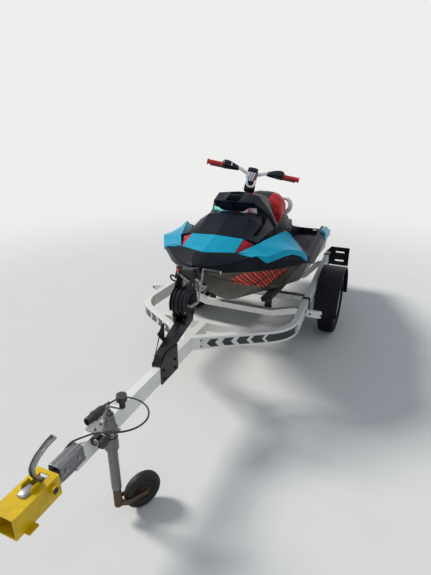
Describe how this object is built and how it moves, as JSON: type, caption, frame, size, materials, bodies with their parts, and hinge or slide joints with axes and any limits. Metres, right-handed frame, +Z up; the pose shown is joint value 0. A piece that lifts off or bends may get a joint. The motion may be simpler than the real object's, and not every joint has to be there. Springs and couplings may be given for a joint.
{
  "type": "personal watercraft on its trailer",
  "caption": "Small personal watercraft parked on a single-axle trailer with jockey wheel, winch and coupling; bars, nozzle, impeller, wheels and glovebox move.",
  "frame": {"origin": "centre of the footprint box on the ground", "axes": "+Z up, -Y towards the bow and the coupling, +X to port"},
  "size_m": [1.548, 4.3384, 1.5463],
  "materials": {
    "white_paint": "semi-gloss",
    "galvanised": "dull zinc",
    "black_steel": "satin",
    "yellow_paint": "gloss",
    "hull_plastic": "fine grain",
    "deck_plastic": "fine grain",
    "teal_plastic": "gloss",
    "red_plastic": "satin",
    "white_plastic": "satin",
    "clear_lens": "clear",
    "red_lens": "clear",
    "black_vinyl": "matt",
    "red_vinyl": "matt",
    "tyre_rubber": "matt",
    "black_rubber": "matt",
    "red_rubber": "matt",
    "carpet": "pile",
    "webbing": "woven",
    "engine_metal": "cast",
    "alloy": "cast",
    "rim_steel": "silver",
    "black_plastic": "satin"
  },
  "bodies": {
    "trailer": {"axle_beam": "galvanised", "bow_eye": "galvanised", "bow_stop": "black_rubber", "bunk_posts": "black_steel", "bunks": "carpet", "cable": "black_rubber", "coupling": "galvanised", "coupling_handle": "galvanised", "coupling_lock": "yellow_paint", "cowl": "deck_plastic", "deck": "deck_plastic", "drawbar": "white_paint", "engine": "engine_metal", "front_crossmember": "white_paint", "hood": "deck_plastic", "hull": "hull_plastic", "jockey_clamp": "galvanised", "jockey_crank": "galvanised", "jockey_tube": "galvanised", "liner": "deck_plastic", "marker_brackets": "galvanised", "marker_lamps": "clear_lens", "mid_crossmember": "white_paint", "mudguard_stays": "galvanised", "mudguards": "black_plastic", "nose_inserts": "red_plastic", "nose_panel": "teal_plastic", "pump": "alloy", "rear_corners": "teal_plastic", "rear_crossmember": "white_paint", "seat_cushion": "black_vinyl", "seat_front": "red_vinyl", "seat_trim": "white_plastic", "side_fins": "teal_plastic", "side_rail_left": "white_paint", "side_rail_right": "white_paint", "swing_arm_left": "galvanised", "swing_arm_right": "galvanised", "tail_lamps": "red_lens", "tail_plates": "black_steel", "winch_post": "black_steel", "winch_strap": "webbing"},
    "wheel_left": {"rim_left": "rim_steel", "tyre_left": "tyre_rubber"},
    "wheel_right": {"rim_right": "rim_steel", "tyre_right": "tyre_rubber"},
    "jockey_leg": {"jockey_leg": "galvanised"},
    "jockey_fork": {"jockey_fork": "galvanised"},
    "jockey_wheel": {"jockey_wheel": "black_rubber"},
    "winch_drum": {"winch_drum": "black_steel", "strap_coil": "webbing"},
    "winch_crank": {"winch_crank": "galvanised", "crank_grip": "black_rubber"},
    "steering": {"steering_column": "deck_plastic", "handlebar": "galvanised", "grips": "red_rubber", "controls": "black_plastic"},
    "glovebox_lid": {"glovebox_lid": "deck_plastic"},
    "impeller": {"impeller": "alloy"},
    "nozzle": {"nozzle": "black_plastic"}
  },
  "joints": [
    {"name": "wheel_left_spin", "type": "hinge", "parent": "trailer", "child": "wheel_left", "pos_m": [0.676, 0.84285, 0.281], "axis": [1, 0, 0], "continuous": true},
    {"name": "wheel_right_spin", "type": "hinge", "parent": "trailer", "child": "wheel_right", "pos_m": [-0.676, 0.84285, 0.281], "axis": [1, 0, 0], "continuous": true},
    {"name": "jockey_extend", "type": "slide", "parent": "trailer", "child": "jockey_leg", "axis": [0, 0, -1], "range_m": [0, 0.2]},
    {"name": "jockey_swivel", "type": "hinge", "parent": "jockey_leg", "child": "jockey_fork", "pos_m": [0.085, -1.63715, 0.1], "axis": [0, 0, 1], "continuous": true},
    {"name": "jockey_spin", "type": "hinge", "parent": "jockey_fork", "child": "jockey_wheel", "pos_m": [0.14838, -1.51795, 0.1], "axis": [0.8829, -0.4695, 0], "continuous": true},
    {"name": "winch_crank_turn", "type": "hinge", "parent": "trailer", "child": "winch_crank", "pos_m": [0, -0.77715, 0.8], "axis": [1, 0, 0], "continuous": true},
    {"name": "winch_drum_turn", "type": "hinge", "parent": "trailer", "child": "winch_drum", "pos_m": [0, -0.70215, 0.8], "axis": [1, 0, 0], "continuous": true},
    {"name": "steering_turn", "type": "hinge", "parent": "trailer", "child": "steering", "pos_m": [0, 0.50949, 1.44911], "axis": [0, 0.5075, 0.8616], "range_deg": [-57, 13]},
    {"name": "nozzle_turn", "type": "hinge", "parent": "trailer", "child": "nozzle", "pos_m": [0, 2.07272, 0.40926], "axis": [0, 0.0785, 0.9969], "range_deg": [-7.8, 34.2]},
    {"name": "glovebox_open", "type": "hinge", "parent": "trailer", "child": "glovebox_lid", "pos_m": [0, 0.54489, 1.2106], "axis": [1, 0, 0], "range_deg": [0, 75]},
    {"name": "impeller_spin", "type": "hinge", "parent": "trailer", "child": "impeller", "pos_m": [0, 1.90325, 0.4226], "axis": [0, 0.9969, -0.0785], "continuous": true}
  ],
  "couplings": [
    {"joint": "winch_drum_turn", "follows": "winch_crank_turn", "ratio": -0.2},
    {"joint": "nozzle_turn", "follows": "steering_turn", "ratio": -0.6}
  ]
}
